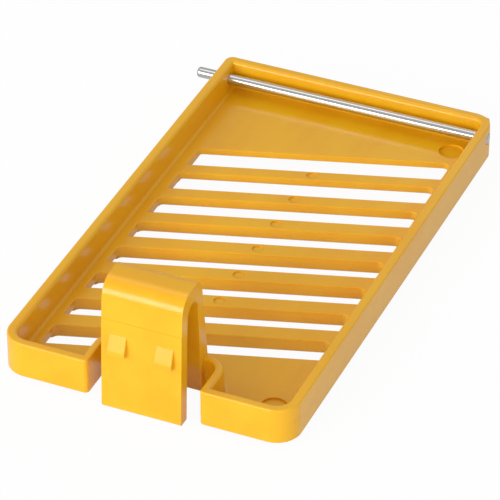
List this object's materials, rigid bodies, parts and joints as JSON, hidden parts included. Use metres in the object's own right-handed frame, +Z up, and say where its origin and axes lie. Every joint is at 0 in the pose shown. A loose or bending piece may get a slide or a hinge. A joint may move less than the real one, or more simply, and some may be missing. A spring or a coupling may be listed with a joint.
{
  "type": "hinged slotted flap",
  "caption": "Shallow rectangular flap with a slanted slotted floor, a U-shaped snap latch at the front edge and a steel hinge pin across the rear.",
  "frame": {"origin": "middle of the tray in plan, on the underside of the middle slat, which the flap lies on", "axes": "+Z up out of the open tray, +Y from the latch to the hinge pin, +X to the right seen from the latch"},
  "size_m": [0.087, 0.1465, 0.0371],
  "materials": {
    "moulding": "glossy yellow-orange injection moulding",
    "pin_steel": "polished steel"
  },
  "bodies": {
    "pin": {"hinge_pin": "pin_steel"},
    "flap": {"perimeter_wall": "moulding", "slatted_floor": "moulding", "latch_post": "moulding"},
    "tongue": {"latch_tongue": "moulding"}
  },
  "joints": [
    {"name": "flap_swing", "type": "hinge", "parent": "pin", "child": "flap", "pos_m": [0, 0.0663, 0.008], "axis": [1, 0, 0], "continuous": true},
    {"name": "tongue_flex", "type": "hinge", "parent": "flap", "child": "tongue", "pos_m": [0, -0.06546, 0.03495], "axis": [1, 0, 0], "range_deg": [-1, 5], "stiffness_Nm_per_rad": 0.5}
  ]
}
